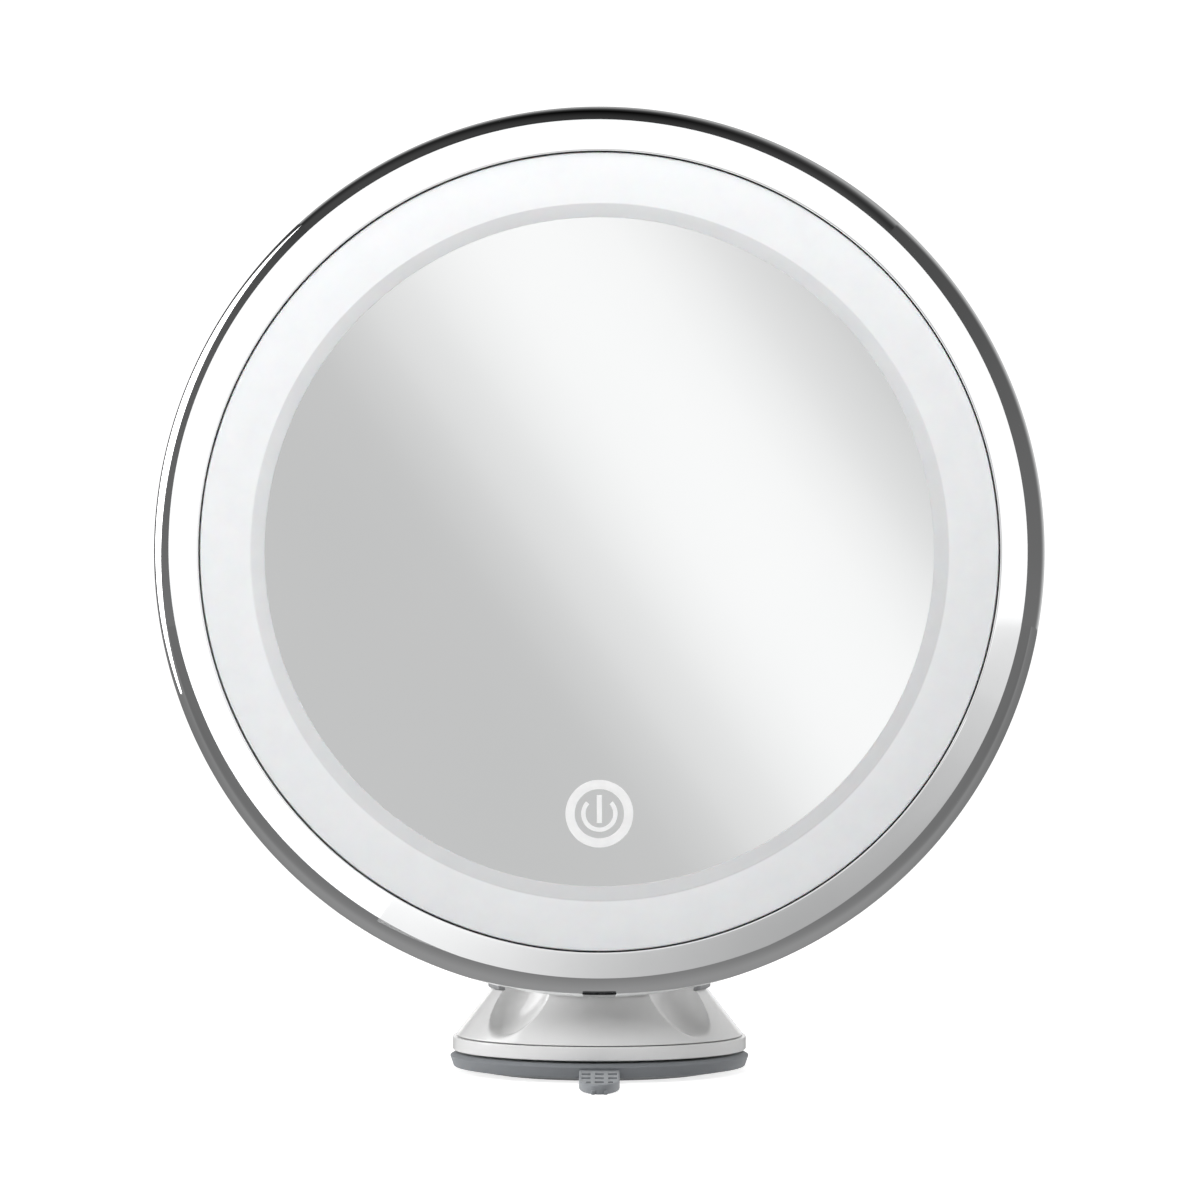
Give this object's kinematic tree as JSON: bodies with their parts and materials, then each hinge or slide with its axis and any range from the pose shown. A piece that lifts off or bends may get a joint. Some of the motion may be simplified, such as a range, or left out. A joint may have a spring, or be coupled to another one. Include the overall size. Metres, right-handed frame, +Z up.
{
  "type": "lighted magnifying mirror",
  "caption": "Round lighted magnifying mirror with a chromed rim, light ring and touch switch, on a folding arm over a twist-lock suction base.",
  "frame": {"origin": "on the supporting surface, at the centre of the suction pad's flat foot", "axes": "+X to the right as seen from in front of the mirror, +Y to the back, +Z up"},
  "size_m": [0.203, 0.0955, 0.223],
  "materials": {
    "pad_rubber": "matte",
    "white_plastic": "gloss",
    "housing_white": "satin",
    "matt_white": "matte",
    "lamp_white": "matte",
    "collar_grey": "matte",
    "nylon": "satin",
    "steel": "satin",
    "white_metal": "gloss",
    "brass": "satin",
    "circuit_board": "satin",
    "cell_foil": "satin",
    "foam": "matte",
    "red_wire": "satin",
    "black_wire": "satin",
    "mirror": "polished",
    "icon_white": "matte",
    "frosted": "satin",
    "chrome": "polished"
  },
  "bodies": {
    "base": {"suction_pad": "pad_rubber", "base_housing": "white_plastic", "swivel_washer": "nylon"},
    "knob": {"lock_knob": "white_plastic", "knob_collar": "collar_grey", "cam_plate": "nylon"},
    "puller": {"puller_stud": "steel", "cross_pin": "steel"},
    "swivel": {"turret": "white_metal", "clamp_washer": "steel", "turret_screw": "steel", "lower_bolt": "steel", "lower_nut": "steel", "lower_friction_washer_left": "nylon", "lower_friction_washer_right": "nylon"},
    "arm": {"arm_link": "white_metal"},
    "tilt": {"tilt_yoke": "white_metal", "upper_bolt": "steel", "upper_nut": "steel", "upper_friction_washer_left": "nylon", "upper_friction_washer_right": "nylon", "hub_spindle": "steel", "spindle_washer": "nylon", "spindle_nut": "steel"},
    "head": {"hub_bush": "brass", "rear_housing": "housing_white", "housing_screw_1": "steel", "housing_screw_2": "steel", "housing_screw_3": "steel", "housing_screw_4": "steel", "inner_tray": "matt_white", "lamp_board": "lamp_white", "touch_sensor_board": "circuit_board", "usb_socket": "steel", "port_board": "circuit_board", "control_board": "circuit_board", "battery_cell": "cell_foil", "battery_pad": "foam", "battery_lead_red": "red_wire", "battery_lead_black": "black_wire", "mirror_glass": "mirror", "icon_ring": "icon_white", "icon_arc": "icon_white", "icon_bar": "icon_white", "diffuser_ring": "frosted", "chrome_bezel": "chrome"}
  },
  "joints": [
    {"name": "lock_turn", "type": "hinge", "parent": "base", "child": "knob", "pos_m": [0, 0, 0.0139], "axis": [0, 0, -1], "range_deg": [0, 90]},
    {"name": "puller_lift", "type": "slide", "parent": "base", "child": "puller", "axis": [0, 0, 1], "range_m": [0, 0.002]},
    {"name": "base_swivel", "type": "hinge", "parent": "base", "child": "swivel", "pos_m": [0, 0, 0.0254], "axis": [0, 0, 1], "continuous": true},
    {"name": "arm_tilt", "type": "hinge", "parent": "swivel", "child": "arm", "pos_m": [0, 0, 0.042], "axis": [-1, 0, 0], "range_deg": [0, 60]},
    {"name": "head_tilt", "type": "hinge", "parent": "arm", "child": "tilt", "pos_m": [0, 0, 0.1215], "axis": [-1, 0, 0], "range_deg": [0, 80]},
    {"name": "head_roll", "type": "hinge", "parent": "tilt", "child": "head", "pos_m": [0, -0.0182, 0.1215], "axis": [0, -1, 0], "continuous": true}
  ],
  "couplings": [
    {"joint": "puller_lift", "follows": "lock_turn", "m_per_rad": 0.001273}
  ]
}
